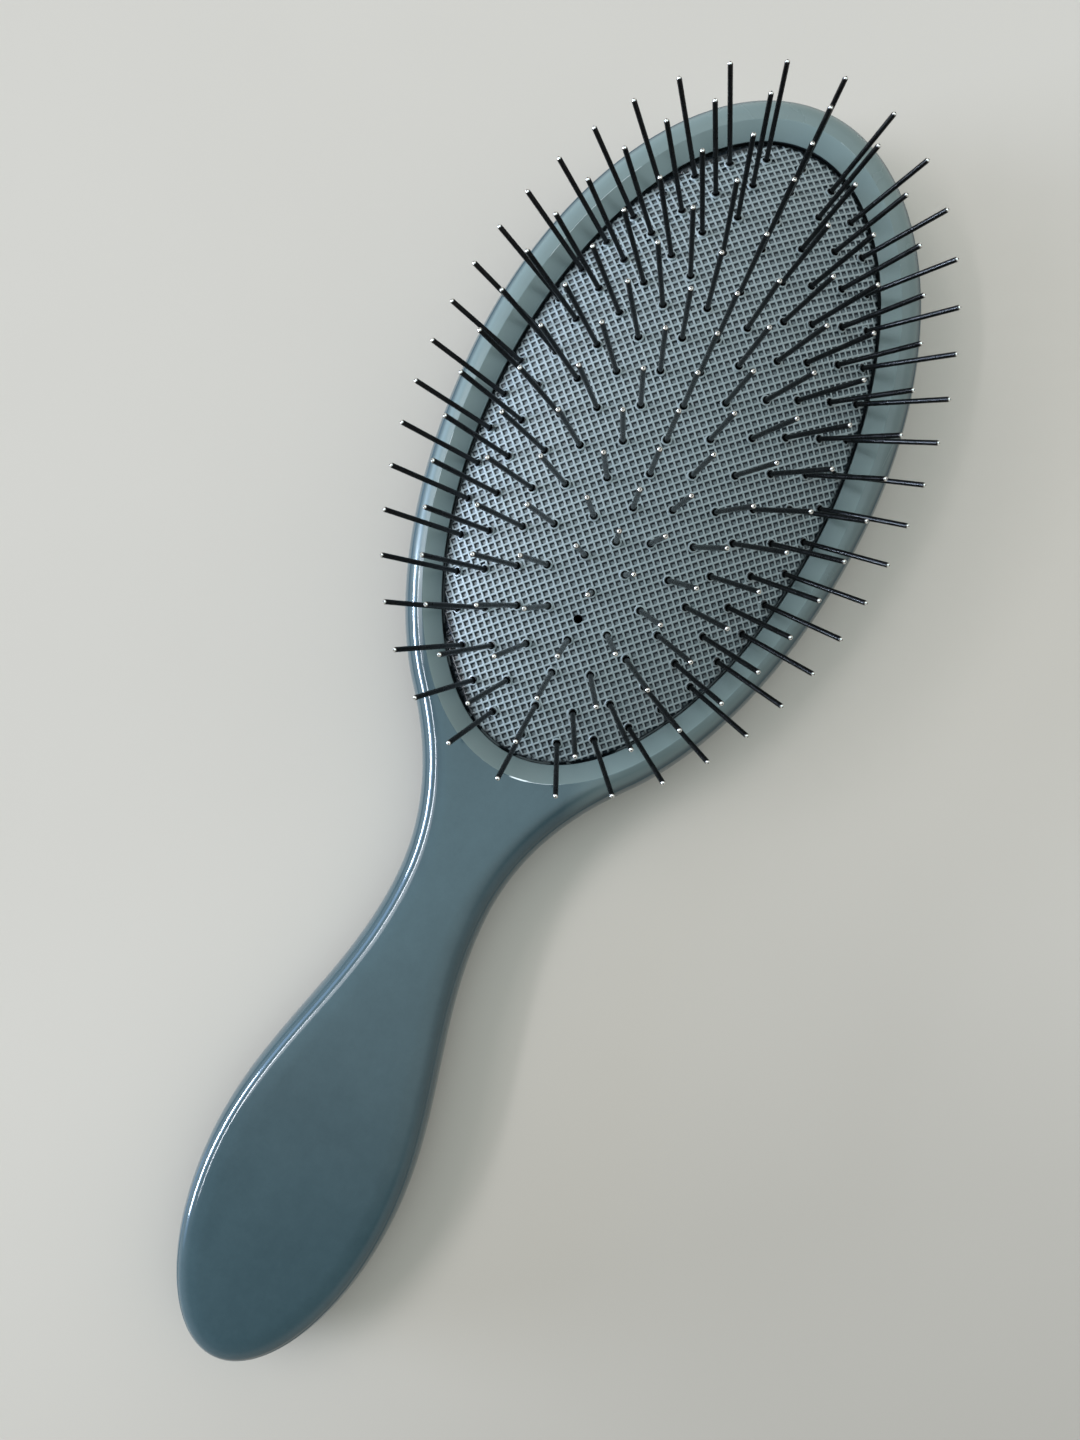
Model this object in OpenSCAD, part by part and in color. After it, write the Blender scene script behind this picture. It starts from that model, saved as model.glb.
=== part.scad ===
// Oval cushion brush for detangling hair. Two moulded shells close around a domed rubber
// cushion, and wire pins stand out of the cushion in five oval rings and a centre row.
// It lies on its flat back, with +X towards the tip of the head and +Z out of the pins' side.

/* [Overall] */
// Length from the tip of the head to the end of the handle
brush_length = 235; // [215:1:255]
// Height of the front face above the flat back
body_depth = 14; // [13:0.5:17]

/* [Head] */
// Width of the head at its widest section
head_width = 74.3; // [68:0.1:84]
// Width of the rim beside the cushion at its sides
side_rim = 7.65; // [7.2:0.05:10]
// Width of the rim between the cushion and the tip of the head
tip_rim = 9; // [8.5:0.1:12]
// How far nearer the tip the head's widest section is than the cushion's centre
widest_ahead = 3.8; // [0:0.1:8]
// How far the heel's oval, most of which is kept, would run behind the cushion
heel_run = 12.6; // [11:0.1:20]

/* [Handle] */
// Width of the neck at its narrowest section
neck_width = 17.1; // [16:0.1:24]
// Distance from the cushion's heel back to the narrowest section
neck_run = 27.8; // [24:0.1:34]
// Width of the handle at its widest section
grip_width = 34.5; // [26:0.1:40]
// Distance from the handle's end forward to its widest section
grip_run = 33.8; // [26:0.1:40]

/* [Shells] */
// Height of the widest part of the side above the back
waist_height = 7.5; // [7:0.1:8]
// Height of the parting line between the two shells
seam_height = 12; // [11.8:0.1:12.4]
// How far the back's edge rolls in from the side
back_roll = 6; // [4:0.1:6.5]
// How far the front's shoulder rolls in from the side
shoulder_roll = 3.3; // [2.8:0.1:3.6]
// Thickness of the back shell's floor
floor_wall = 2.2; // [1.6:0.1:3]
// Thickness of the back shell's side wall at the seam
side_wall = 2.3; // [1.8:0.1:2.4]
// Thickness of the front shell's locating skirt
skirt_wall = 1.2; // [0.8:0.1:1.4]

/* [Cushion] */
// Length of the oval that the cushion shows
pad_length = 112; // [100:0.5:124]
// Height of the cushion's crown above its foot
cushion_rise = 9; // [6:0.1:11]
// Thickness of the rubber, measured upright
cushion_wall = 2.2; // [1.8:0.1:2.6]
// Diameter of the vent hole
vent_bore = 1.5; // [1:0.1:2]

/* [Pins] */
// Diameter of the wire
pin_wire = 0.85; // [0.7:0.05:1.1]
// Length of wire that stands out of the rubber
pin_reach = 17.5; // [14:0.5:20]
// Diameter of the flat head under the rubber
pin_head = 2; // [1.6:0.1:2.2]
// Distance from the outer ring of pins to the cushion's edge at the tip and the heel
end_margin = 3.4; // [2.6:0.1:6]
// Distance from the outer ring of pins to the cushion's edge at the two sides
side_margin = 1.7; // [1.5:0.1:4]
// Lean of the outer ring's pins at the tip and the heel, in degrees
end_splay = 26; // [15:1:30]
// Lean of the outer ring's pins at the two sides, in degrees
side_splay = 44; // [30:1:45]

/* [Hidden] */
// Pins in each ring, from the outer ring in, each a multiple of the six groups
RING_PINS = [42, 36, 30, 24, 18];
RING_NAMES = ["outer", "second", "third", "fourth", "inner"];
SECTORS = 6;
CENTRE_PINS = 7;

// Each ring's oval as shares of the outer ring's length and width
ring_length_shares = [1, 0.9, 0.785, 0.675, 0.515];
ring_width_shares = [1, 0.83, 0.63, 0.445, 0.225];
// The centre row's length as a share of the outer ring's
centre_row_share = 0.345;
// The vent's place from the cushion's centre to the heel, as a share of the outer ring
vent_share = 0.604;
// The part of the heel's oval that is kept before it blends into the neck
heel_kept_share = 0.836;
// The front's crown narrows to this share of the neck's half width
crown_share = 0.85;
// The locating pegs' places, as shares of the way from the cushion's heel to the handle's end
peg_shares = [0.09, 0.3, 0.6, 0.9];
// The stiffening ribs' places on the same way
rib_shares = [0.45, 0.75];

overrun = 1;
seam_clearance = 0.1;
seat_clearance = 0.05;
seam_groove = 0.25;
front_crown = 0.25;
skirt_depth = 2.5;
face_wall = 1.8;
peg_wire = 3;
peg_length = 6;
peg_clearance = 0.05;
boss_wall = 1.5;
rib_wall = 1.6;
rim_gap = 0.5;
rim_edge = 0.85;
bevel_width = 3.3;
flange_reach = 1.7;
flange_thick = 1.8;
foot_step = 0.45;
foot_wall = 1.5;
dome_power = 2.3;
splay_power = 0.77;
hole_clearance = 0.08;
head_gap = 0.3;
head_thick = 0.4;
sheet_gap = 1.2;
sheet_thick = 0.5;
sheet_vent_margin = 0.5;
oval_facets = 72;
bore_facets = 32;
pin_facets = 24;
dome_steps = 9;
sheet_steps = 5;
arc_steps = 240;

tip_x = brush_length / 2;
end_x = -brush_length / 2;
pad_width = head_width - 2 * side_rim;
pad_x = tip_x - tip_rim - pad_length / 2;
field_length = pad_length - 2 * end_margin;
field_width = pad_width - 2 * side_margin;
widest_x = pad_x + widest_ahead;
head_nose = tip_x - widest_x;
head_heel = pad_length / 2 + heel_run;
blend_x = widest_x - heel_kept_share * head_heel;
neck_x = pad_x - pad_length / 2 - neck_run;
grip_x = end_x + grip_run;
pad_heel_x = pad_x - pad_length / 2 - bevel_width;
crown_inset = crown_share * neck_width / 2;
shoulder_rise = body_depth - front_crown - waist_height;
inner_inset = shoulder_inset(seam_height) + side_wall;
skirt_inset = inner_inset + seam_clearance;
flange_top = seam_height - seat_clearance;
flange_low = flange_top - flange_thick;
cushion_foot = flange_top + foot_step;
sheet_top = flange_low - seat_clearance;
seat_top = sheet_top - sheet_thick - seat_clearance;
vent_x = -vent_share * field_length / 2;

// Half the length of a chord of a half oval, at a distance from its widest section
function oval_chord(from_widest, reach, half) = half * sqrt(max(0, 1 - pow(from_widest / reach, 2)));

// The hollow between head and neck: a cubic that leaves the oval along its own slope
heel_half = oval_chord(widest_x - blend_x, head_heel, head_width / 2);
heel_slope = pow(head_width / 2 / head_heel, 2) * (widest_x - blend_x) / heel_half;
function hollow_half(share) =
    neck_width / 2 + (heel_half - neck_width / 2) * share * share * (3 - 2 * share)
    + heel_slope * (blend_x - neck_x) * share * share * (share - 1);
function swell_half(share) = (neck_width + (grip_width - neck_width) * (1 - cos(180 * share)) / 2) / 2;

// The outline's left side, from the tip of the head to the end of the handle
nose_steps = 16;
heel_steps = 8;
hollow_steps = 7;
swell_steps = 9;
end_steps = 10;
heel_turn = acos((widest_x - blend_x) / head_heel);
left_side = concat(
    [for (i = [0:nose_steps - 1]) let (turn = 90 * i / nose_steps)
        [widest_x + head_nose * cos(turn), head_width / 2 * sin(turn)]],
    [for (i = [0:heel_steps - 1]) let (turn = 90 - (90 - heel_turn) * i / heel_steps)
        [widest_x - head_heel * cos(turn), head_width / 2 * sin(turn)]],
    [for (i = [0:hollow_steps - 1]) let (share = i / hollow_steps)
        [blend_x + (neck_x - blend_x) * share, hollow_half(1 - share)]],
    [for (i = [0:swell_steps - 1]) let (share = i / swell_steps)
        [neck_x + (grip_x - neck_x) * share, swell_half(share)]],
    [for (i = [0:end_steps]) let (turn = 90 * i / end_steps)
        [grip_x + (end_x - grip_x) * sin(turn), grip_width / 2 * cos(turn)]]);
side_count = len(left_side);
outline = concat(left_side, [for (i = [side_count - 2:-1:1]) [left_side[i][0], -left_side[i][1]]]);

// The outline moved in by an inset, each point along its own normal
function inward(points, i) =
    let (count = len(points), along = points[(i + 1) % count] - points[(i + count - 1) % count])
    [-along[1], along[0]] / norm(along);
function moved_in(points, inset) = [for (i = [0:len(points) - 1]) points[i] + inset * inward(points, i)];

// The side's section: a quarter oval from the back's edge to the waist, another to the front
function back_level(turn) = [back_roll * (1 - cos(turn)), waist_height * (1 - sin(turn))];
function shoulder_level(turn) =
    [shoulder_roll * (1 - cos(turn)), waist_height + shoulder_rise * sin(turn)];
function shoulder_turn(height) = asin((height - waist_height) / shoulder_rise);
function shoulder_inset(height) = shoulder_level(shoulder_turn(height))[0];

// A closed skin through loops of points, from the lowest loop round to the last one
module skin(loops) {
    count = len(loops[0]);
    top = len(loops) - 1;
    polyhedron(
        points = [for (loop = loops) each loop],
        faces = concat(
            [[for (i = [0:count - 1]) i]],
            [for (k = [0:top - 1]) for (i = [0:count - 1]) let (j = (i + 1) % count)
                each [[k * count + i, (k + 1) * count + i, k * count + j],
                    [k * count + j, (k + 1) * count + i, (k + 1) * count + j]]],
            [[for (i = [count - 1:-1:0]) top * count + i]]));
}

// Joins faceted forms into one skin of flat facets, with every size left as it is
module one_skin() {
    resize([0, 0, 0])
        children();
}

// The body's outline lofted through levels, each given as [inset, height]
module loft(levels) {
    skin([for (level = levels) [for (p = moved_in(outline, level[0])) [p[0], p[1], level[1]]]]);
}

// Loops of the cushion's oval at a height: moved out by an offset, or drawn in to a share
function offset_loop(offset, height) = [for (i = [0:oval_facets - 1]) let (turn = 360 * i / oval_facets)
    [pad_x + (pad_length / 2 + offset) * cos(turn), (pad_width / 2 + offset) * sin(turn), height]];
function share_loop(share, height) = [for (i = [0:oval_facets - 1]) let (turn = 360 * i / oval_facets)
    [pad_x + share * pad_length / 2 * cos(turn), share * pad_width / 2 * sin(turn), height]];

// The cushion's oval, moved out by an offset
module pad_oval(offset) {
    half = pad_width / 2 + offset;
    translate([pad_x, 0])
        scale([(pad_length / 2 + offset) / half, 1])
            circle(r = half, $fn = oval_facets);
}

// A ring between two ovals, from one height to another
module oval_ring(outer, inner, low, high) {
    translate([0, 0, low])
        linear_extrude(high - low)
            difference() {
                pad_oval(outer);
                pad_oval(inner);
            }
}

function on_handle(share) = pad_heel_x + share * (end_x - pad_heel_x);
function outline_half(x) =
    x > neck_x ? hollow_half(min(1, (x - neck_x) / (blend_x - neck_x)))
    : x > grip_x ? swell_half((neck_x - x) / (neck_x - grip_x))
    : oval_chord(x - grip_x, grip_x - end_x, grip_width / 2);

// Moulded back: a tub with a seat for the cushion's flange, bosses for the pegs and two ribs
module back_shell() {
    seam_turn = shoulder_turn(seam_height);
    back_turns = [90, 67.5, 45, 22.5, 0];
    color("#5b6f78")
        difference() {
            union() {
                one_skin() difference() {
                    loft(concat(
                        [[back_roll, -overrun]],
                        [for (turn = back_turns) back_level(turn)],
                        [shoulder_level(seam_turn / 2)],
                        [shoulder_level(shoulder_turn(seam_height - seam_groove))],
                        [[shoulder_inset(seam_height) + seam_groove, seam_height]]));
                    translate([end_x - overrun, -head_width, -2 * overrun])
                        cube([brush_length + 2 * overrun, 2 * head_width, 2 * overrun]);
                    loft([
                        [back_roll, floor_wall],
                        [(back_roll + inner_inset) / 2, waist_height / 2],
                        [inner_inset, waist_height],
                        [inner_inset, seam_height + overrun]]);
                }
                oval_ring(flange_reach, -foot_wall - seat_clearance, floor_wall / 2, seat_top);
                for (share = peg_shares)
                    translate([on_handle(share), 0, floor_wall / 2])
                        cylinder(d = peg_wire + 2 * boss_wall,
                            h = seam_height - seam_clearance - floor_wall / 2, $fn = bore_facets);
                for (share = rib_shares)
                    rib(on_handle(share));
            }
            for (share = peg_shares)
                translate([on_handle(share), 0, seam_height - peg_length - seam_clearance])
                    cylinder(d = peg_wire + 2 * peg_clearance, h = peg_length + overrun, $fn = bore_facets);
        }
}

// Cross rib in the hollow handle, sunk half way into the walls
module rib(x) {
    half = outline_half(x) - inner_inset + side_wall / 2;
    translate([x - rib_wall / 2, -half, floor_wall / 2 + waist_height / 4])
        cube([rib_wall, 2 * half, waist_height * 0.75]);
}

// Moulded front: the face with its bevelled oval opening, a skirt and pegs that locate it
module front_shell() {
    seam_turn = shoulder_turn(seam_height + seam_groove);
    face_low = body_depth - face_wall;
    rim_low = seam_height + rim_edge;
    rim_slope = (body_depth - front_crown / 2 - rim_low) / bevel_width;
    color("#64787f") {
        one_skin() difference() {
            loft(concat(
                [[skirt_inset, seam_height - skirt_depth]],
                [[skirt_inset, seam_height]],
                [[shoulder_inset(seam_height) + seam_groove, seam_height]],
                [for (i = [0:3]) shoulder_level(seam_turn + (90 - seam_turn) * i / 3)],
                [[crown_inset, body_depth]]));
            loft([
                [skirt_inset + skirt_wall, seam_height - skirt_depth - overrun],
                [skirt_inset + skirt_wall, face_low]]);
            skin([
                offset_loop(rim_gap, face_low - overrun),
                offset_loop(rim_gap, rim_low),
                offset_loop(rim_gap + bevel_width + overrun, rim_low + rim_slope * (bevel_width + overrun))]);
        }
        for (share = peg_shares)
            translate([on_handle(share), 0, seam_height - peg_length])
                cylinder(d = peg_wire, h = face_low + face_wall / 2 - seam_height + peg_length,
                    $fn = bore_facets);
    }
}

// Height of the cushion's outer face and the share of its oval at a place from its centre
function oval_share(p) = norm([p[0] / (pad_length / 2), p[1] / (pad_width / 2)]);
function dome_height(share) = cushion_foot + cushion_rise * (1 - pow(share, dome_power));

// The cushion's domed wall: a section turned about the upright axis and stretched to its oval
module dome() {
    half = pad_width / 2;
    shares = [for (i = [0:dome_steps]) i / dome_steps];
    translate([pad_x, 0, 0])
        scale([pad_length / pad_width, 1, 1])
            rotate_extrude($fn = oval_facets)
                polygon(concat(
                    [for (share = shares) [half * share, dome_height(share)]],
                    [for (i = [dome_steps:-1:0]) [half * shares[i], dome_height(shares[i]) - cushion_wall]]));
}

// Rubber cushion: domed, with a foot and flange clamped under the front shell's rim
module cushion() {
    color("#6f7f88")
        difference() {
            union() {
                dome();
                oval_ring(0, -foot_wall, flange_low, cushion_foot);
                oval_ring(flange_reach, -foot_wall / 2, flange_low, flange_top);
            }
            for (p = pin_places)
                stand_on_dome(p)
                    translate([0, 0, -head_depth(p) - head_gap])
                        cylinder(d = pin_wire + 2 * hole_clearance, h = head_depth(p) + head_gap + overrun,
                            $fn = pin_facets);
            vent(vent_bore);
        }
}

// Thin sheet behind the pins' heads, clamped under the cushion's flange
module backing_sheet() {
    drop = cushion_wall + sheet_gap;
    last_share = 1 - (foot_wall + sheet_gap) / (pad_width / 2);
    shares = [for (i = [1:sheet_steps]) last_share * i / sheet_steps];
    color("#33383b")
        difference() {
            skin(concat(
                [for (share = shares) share_loop(share, dome_height(share) - drop - sheet_thick)],
                [offset_loop(-foot_wall, sheet_top - sheet_thick)],
                [offset_loop(flange_reach, sheet_top - sheet_thick)],
                [offset_loop(flange_reach, sheet_top)],
                [offset_loop(-foot_wall, sheet_top)],
                [for (i = [sheet_steps - 1:-1:0]) share_loop(shares[i], dome_height(shares[i]) - drop)]));
            vent(vent_bore + 2 * sheet_vent_margin);
        }
}

// The vent's bore, upright through the cushion or the sheet
module vent(bore) {
    translate([pad_x + vent_x, 0, seat_top])
        cylinder(d = bore, h = cushion_rise + body_depth, $fn = bore_facets);
}

// Places at equal steps along an oval, the first at the tip of the head
function oval_point(length, width, turn) = [length / 2 * cos(turn), width / 2 * sin(turn)];
function arc_table(length, width) =
    [for (i = 0, run = 0; i <= arc_steps; i = i + 1,
        run = run + norm(oval_point(length, width, 360 * i / arc_steps)
            - oval_point(length, width, 360 * (i - 1) / arc_steps)))
        [run, 360 * i / arc_steps]];
function ring_places(ring) =
    let (length = field_length * ring_length_shares[ring], width = field_width * ring_width_shares[ring],
        table = arc_table(length, width), whole = table[arc_steps][0], count = RING_PINS[ring])
    [for (i = [0:count - 1]) oval_point(length, width, lookup(whole * i / count, table))];
centre_places = [for (i = [0:CENTRE_PINS - 1])
    [field_length * centre_row_share * (i / (CENTRE_PINS - 1) - 1 / 2), 0]];
pin_places = concat(centre_places, [for (ring = [0:len(RING_PINS) - 1]) each ring_places(ring)]);

// Lean of a pin at a place, as its run along X and Y for each unit that it rises
function lean(p) =
    let (across = [p[0] / (field_length / 2), p[1] / (field_width / 2)])
    pow(norm(across), splay_power) * [tan(end_splay) * across[0], tan(side_splay) * across[1]];

// Depth of the rubber under the surface, measured along the leaning pin
function head_depth(p) =
    let (tilt = lean(p), share = oval_share(p),
        fall = cushion_rise * dome_power * pow(share, dome_power - 2)
            * (p[0] * tilt[0] / pow(pad_length / 2, 2) + p[1] * tilt[1] / pow(pad_width / 2, 2)))
    cushion_wall * norm([tilt[0], tilt[1], 1]) / (1 + fall);

module stand_on_dome(p) {
    tilt = lean(p);
    translate([pad_x + p[0], p[1], dome_height(oval_share(p))])
        rotate([0, atan(norm(tilt)), atan2(tilt[1], tilt[0])])
            children();
}

// One wire pin: a flat head under the rubber, a straight shank and a rounded tip
module pin(p) {
    low = -head_depth(p) - head_gap;
    wire = pin_wire / 2;
    stand_on_dome(p)
        rotate_extrude($fn = pin_facets)
            polygon(concat(
                [[0, low - head_thick], [pin_head / 2, low - head_thick], [pin_head / 2, low], [wire, low]],
                [for (turn = [0:30:90]) [wire * cos(turn), pin_reach - wire + wire * sin(turn)]]));
}

module centre_pins() {
    color("#3a3d40")
        for (p = centre_places)
            pin(p);
}

module ring_pins(ring, sector) {
    places = ring_places(ring);
    count = RING_PINS[ring] / SECTORS;
    color("#3a3d40")
        for (i = [0:count - 1])
            pin(places[(sector - 1) * count + i]);
}

back_shell();
front_shell();
cushion();
backing_sheet();
centre_pins();
for (ring = [0:len(RING_PINS) - 1])
    for (sector = [1:SECTORS])
        ring_pins(ring, sector);
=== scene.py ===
"""The visible skins, materials and setting of an oval cushion brush with wire pins. It lies on its
back on a pale table, and all sizes are in millimetres until MM turns them to metres."""

import math

import bmesh
import bpy
import numpy as np
from mathutils import Matrix, Vector


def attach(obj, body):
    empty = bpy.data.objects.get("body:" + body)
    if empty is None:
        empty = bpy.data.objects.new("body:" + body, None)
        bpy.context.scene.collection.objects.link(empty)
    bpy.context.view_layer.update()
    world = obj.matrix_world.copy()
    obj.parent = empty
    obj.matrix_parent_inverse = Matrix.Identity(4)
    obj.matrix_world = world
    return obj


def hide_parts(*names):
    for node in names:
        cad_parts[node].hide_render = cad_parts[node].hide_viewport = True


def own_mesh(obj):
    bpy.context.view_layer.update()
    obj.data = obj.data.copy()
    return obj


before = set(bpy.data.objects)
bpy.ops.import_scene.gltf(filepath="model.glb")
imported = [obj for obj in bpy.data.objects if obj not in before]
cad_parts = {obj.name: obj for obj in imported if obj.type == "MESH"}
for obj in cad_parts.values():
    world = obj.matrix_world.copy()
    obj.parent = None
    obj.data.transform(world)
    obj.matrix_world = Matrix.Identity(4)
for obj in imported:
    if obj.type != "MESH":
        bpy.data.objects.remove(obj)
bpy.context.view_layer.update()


# Back shell

# The tub of the body, injection moulded in one piece of glossy grey-blue ABS. Its mouth meets
# the front shell at the parting line, and inside it holds the cushion's seat, four bosses for
# the locating pegs and two stiffening ribs in the handle.

MM = 0.001

# The outline from above: where it ends, is widest or narrowest, and half its width there.
TIP_X, END_X = 117.5, -117.5
WIDEST_X, HEAD_HALF, HEAD_NOSE, HEAD_HEEL = 56.3, 37.15, 61.2, 68.6
BLEND_SHARE = 0.836
BLEND_X = WIDEST_X - BLEND_SHARE * HEAD_HEEL
NECK_X, NECK_HALF = -31.3, 8.55
GRIP_X, GRIP_HALF = -83.7, 17.25

# How finely the skins are drawn. Points nearer than WELD become one, and a face within FOLD of
# the centreline is folded flat. Both are in metres.
STATIONS, SAMPLES, TURN_WEIGHT = 480, 6001, 14
ROLL_LEVELS, UPPER_LEVELS, SHOULDER_LEVELS, ROUND_SIDES = 17, 9, 22, 32
WELD, FOLD = 1e-7, 1e-8

# The section across the body, the groove at its parting line and the hollow inside.
BACK_ROLL, WAIST_Z, SEAM_Z, FRONT_Z = 6.0, 7.5, 12.0, 14.0
CROWN_INSET, SECTION_POWER = 7.27, 4.2
GROOVE, GROOVE_ROUND_IN, GROOVE_ROUND_UP, PARTING = 0.25, 0.12, 0.07, 0.02
FLOOR_Z, INNER_INSET = 2.2, 3.31
SPINE_TIP, SPINE_SHORT = 75, 20
EDGE_BREAK, ROOT = 0.2, 0.4


def half_oval(from_widest, reach, half):
    """Half the chord of a half oval at a distance from its widest section."""
    return half * math.sqrt(max(0.0, 1 - (from_widest / reach) ** 2))


HEEL_HALF = half_oval(WIDEST_X - BLEND_X, HEAD_HEEL, HEAD_HALF)
HEEL_SLOPE = (HEAD_HALF / HEAD_HEEL) ** 2 * (WIDEST_X - BLEND_X) / HEEL_HALF


def half_width(x):
    """Half the body's width at a station, in millimetres."""
    if x > WIDEST_X:
        return half_oval(x - WIDEST_X, HEAD_NOSE, HEAD_HALF)
    if x > BLEND_X:
        return half_oval(WIDEST_X - x, HEAD_HEEL, HEAD_HALF)
    if x > NECK_X:
        share = (x - NECK_X) / (BLEND_X - NECK_X)
        rise = (HEEL_HALF - NECK_HALF) * share**2 * (3 - 2 * share)
        return NECK_HALF + rise + HEEL_SLOPE * (BLEND_X - NECK_X) * share**2 * (share - 1)
    if x > GRIP_X:
        share = (NECK_X - x) / (NECK_X - GRIP_X)
        return NECK_HALF + (GRIP_HALF - NECK_HALF) * (1 - math.cos(math.pi * share)) / 2
    return half_oval(x - GRIP_X, GRIP_X - END_X, GRIP_HALF)


def outline():
    """Points round the body, counted from the tip over the left side, closer where it turns
    more, and each point's inward direction."""
    middle = (TIP_X + END_X) / 2
    turns = np.linspace(0, math.pi, SAMPLES)
    xs = middle + (TIP_X - END_X) / 2 * np.cos(turns)
    side = np.array([(x, half_width(x)) for x in xs])
    step = np.gradient(side, axis=0)
    run = np.hypot(step[:, 0], step[:, 1])
    heading = np.unwrap(np.arctan2(step[:, 1], step[:, 0]))
    weight = run + TURN_WEIGHT * np.abs(np.gradient(heading))
    total = np.concatenate([[0], np.cumsum((weight[1:] + weight[:-1]) / 2)])
    places = np.linspace(0, total[-1], STATIONS // 2 + 1)
    left = np.stack([np.interp(places, total, side[:, k]) for k in (0, 1)], axis=1)
    left[0], left[-1] = (TIP_X, 0), (END_X, 0)
    loop = np.concatenate([left, left[-2:0:-1] * [1, -1]])
    along = np.roll(loop, -1, axis=0) - np.roll(loop, 1, axis=0)
    inward = np.stack([-along[:, 1], along[:, 0]], axis=1)
    return loop, inward / np.linalg.norm(inward, axis=1)[:, None]


EDGE, INWARD = outline()


def inset_loop(inset, height):
    """The outline moved in by an inset, at a height. Either may differ from place to place."""
    flat = EDGE + INWARD * np.reshape(np.ones(STATIONS) * inset, (-1, 1))
    return np.column_stack([flat, np.ones(STATIONS) * height])


def shoulder_z(inset):
    """Height of the body's upper side at an inset: upright at the waist, level at the crown."""
    left_over = np.clip(1 - np.asarray(inset) / CROWN_INSET, 0, 1)
    return WAIST_Z + (FRONT_Z - WAIST_Z) * np.sqrt(1 - left_over**SECTION_POWER)


def shoulder_inset(height):
    """Inset of the body's upper side at a height."""
    rise = (height - WAIST_Z) / (FRONT_Z - WAIST_Z)
    return CROWN_INSET * (1 - (1 - rise**2) ** (1 / SECTION_POWER))


def built_up(name, loops):
    """A skin made by hand: a circle laid along the first loop, then extruded from loop to loop."""
    bpy.ops.object.select_all(action="DESELECT")
    bpy.ops.mesh.primitive_circle_add(vertices=len(loops[0]), radius=0.01)
    piece = bpy.context.object
    piece.name = piece.data.name = name
    for corner, place in zip(piece.data.vertices, loops[0]):
        corner.co = place * MM
    bpy.ops.object.mode_set(mode="EDIT")
    bpy.ops.mesh.select_all(action="SELECT")
    for loop in loops[1:]:
        bpy.ops.mesh.extrude_region_move()
        mesh = bmesh.from_edit_mesh(piece.data)
        for corner, place in zip([end for end in mesh.verts if end.select], loop):
            corner.co = place * MM
        bmesh.update_edit_mesh(piece.data)
    return piece


def sealed(piece, cap_ends=False, smooth=30):
    """Closes the skin that is being edited, turns it outwards and shades it. Faces that the spine's
    loops leave folded flat on the centreline are taken out."""
    if cap_ends:
        bpy.ops.mesh.select_all(action="DESELECT")
        bpy.ops.mesh.select_non_manifold(extend=False, use_wire=False, use_multi_face=False,
                                         use_non_contiguous=False, use_verts=False)
        bpy.ops.mesh.fill_holes(sides=0)
    bpy.ops.mesh.select_all(action="SELECT")
    bpy.ops.mesh.remove_doubles(threshold=WELD)
    mesh = bmesh.from_edit_mesh(piece.data)
    folded = [face for face in mesh.faces if all(abs(corner.co.y) < FOLD for corner in face.verts)]
    bmesh.ops.delete(mesh, geom=folded, context="FACES_ONLY")
    bmesh.update_edit_mesh(piece.data)
    bpy.ops.mesh.select_all(action="SELECT")
    bpy.ops.mesh.dissolve_degenerate(threshold=WELD)
    bpy.ops.mesh.select_all(action="SELECT")
    bpy.ops.mesh.normals_make_consistent(inside=False)
    bpy.ops.object.mode_set(mode="OBJECT")
    bpy.ops.object.shade_smooth_by_angle(angle=math.radians(smooth))
    evened = piece.modifiers.new("evened", "WEIGHTED_NORMAL")
    evened.keep_sharp = True
    bpy.ops.object.modifier_apply(modifier="evened")
    return piece


def spine_loop(height, tip_stop):
    """Every station's partner on the body's centreline, at a height."""
    x = np.clip(EDGE[:, 0], END_X + SPINE_SHORT, tip_stop)
    return np.column_stack([x, np.zeros(STATIONS), np.ones(STATIONS) * height])


back_rows = [spine_loop(0, SPINE_TIP)]
for turn in np.radians(np.linspace(90, 0, ROLL_LEVELS)):
    back_rows.append(inset_loop(BACK_ROLL * (1 - math.cos(turn)), WAIST_Z * (1 - math.sin(turn))))
for height in np.linspace(WAIST_Z, SEAM_Z - GROOVE, UPPER_LEVELS)[1:]:
    back_rows.append(inset_loop(shoulder_inset(height), height))
for inset, height in (
    (shoulder_inset(SEAM_Z - GROOVE) + GROOVE_ROUND_IN, SEAM_Z - GROOVE + GROOVE_ROUND_UP),
    (shoulder_inset(SEAM_Z) + GROOVE, SEAM_Z - PARTING),
    (INNER_INSET, SEAM_Z - PARTING),
    (INNER_INSET, WAIST_Z),
    ((BACK_ROLL + INNER_INSET) / 2, WAIST_Z / 2),
    (BACK_ROLL, FLOOR_Z),
):
    back_rows.append(inset_loop(inset, height))
back_rows.append(spine_loop(FLOOR_Z, SPINE_TIP))
back_shell = sealed(built_up("back_shell_moulding", back_rows))

PAD_X, PAD_A, PAD_B = 52.5, 56.0, 29.5
SEAT_Z, SEAT_OUT, SEAT_IN = 9.55, 1.7, -1.55
PAD_TURNS = np.radians(np.arange(0, 360, 2.5))


def oval_loop(offset, height, turns=PAD_TURNS):
    """The cushion's oval moved out by an offset, at a height."""
    return np.column_stack([PAD_X + (PAD_A + offset) * np.cos(turns), (PAD_B + offset) * np.sin(turns),
                            np.ones(len(turns)) * height])


def round_loop(x, y, radius, height, sides):
    """A circle of points round an upright line."""
    turns = np.radians(np.arange(sides) * 360 / sides)
    return np.column_stack([x + radius * np.cos(turns), y + radius * np.sin(turns),
                            np.ones(sides) * height])


def joined(piece, *others):
    """The first piece with the others joined to it."""
    bpy.ops.object.select_all(action="DESELECT")
    for other in (*others, piece):
        other.select_set(True)
    bpy.context.view_layer.objects.active = piece
    bpy.ops.object.join()
    return piece


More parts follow.
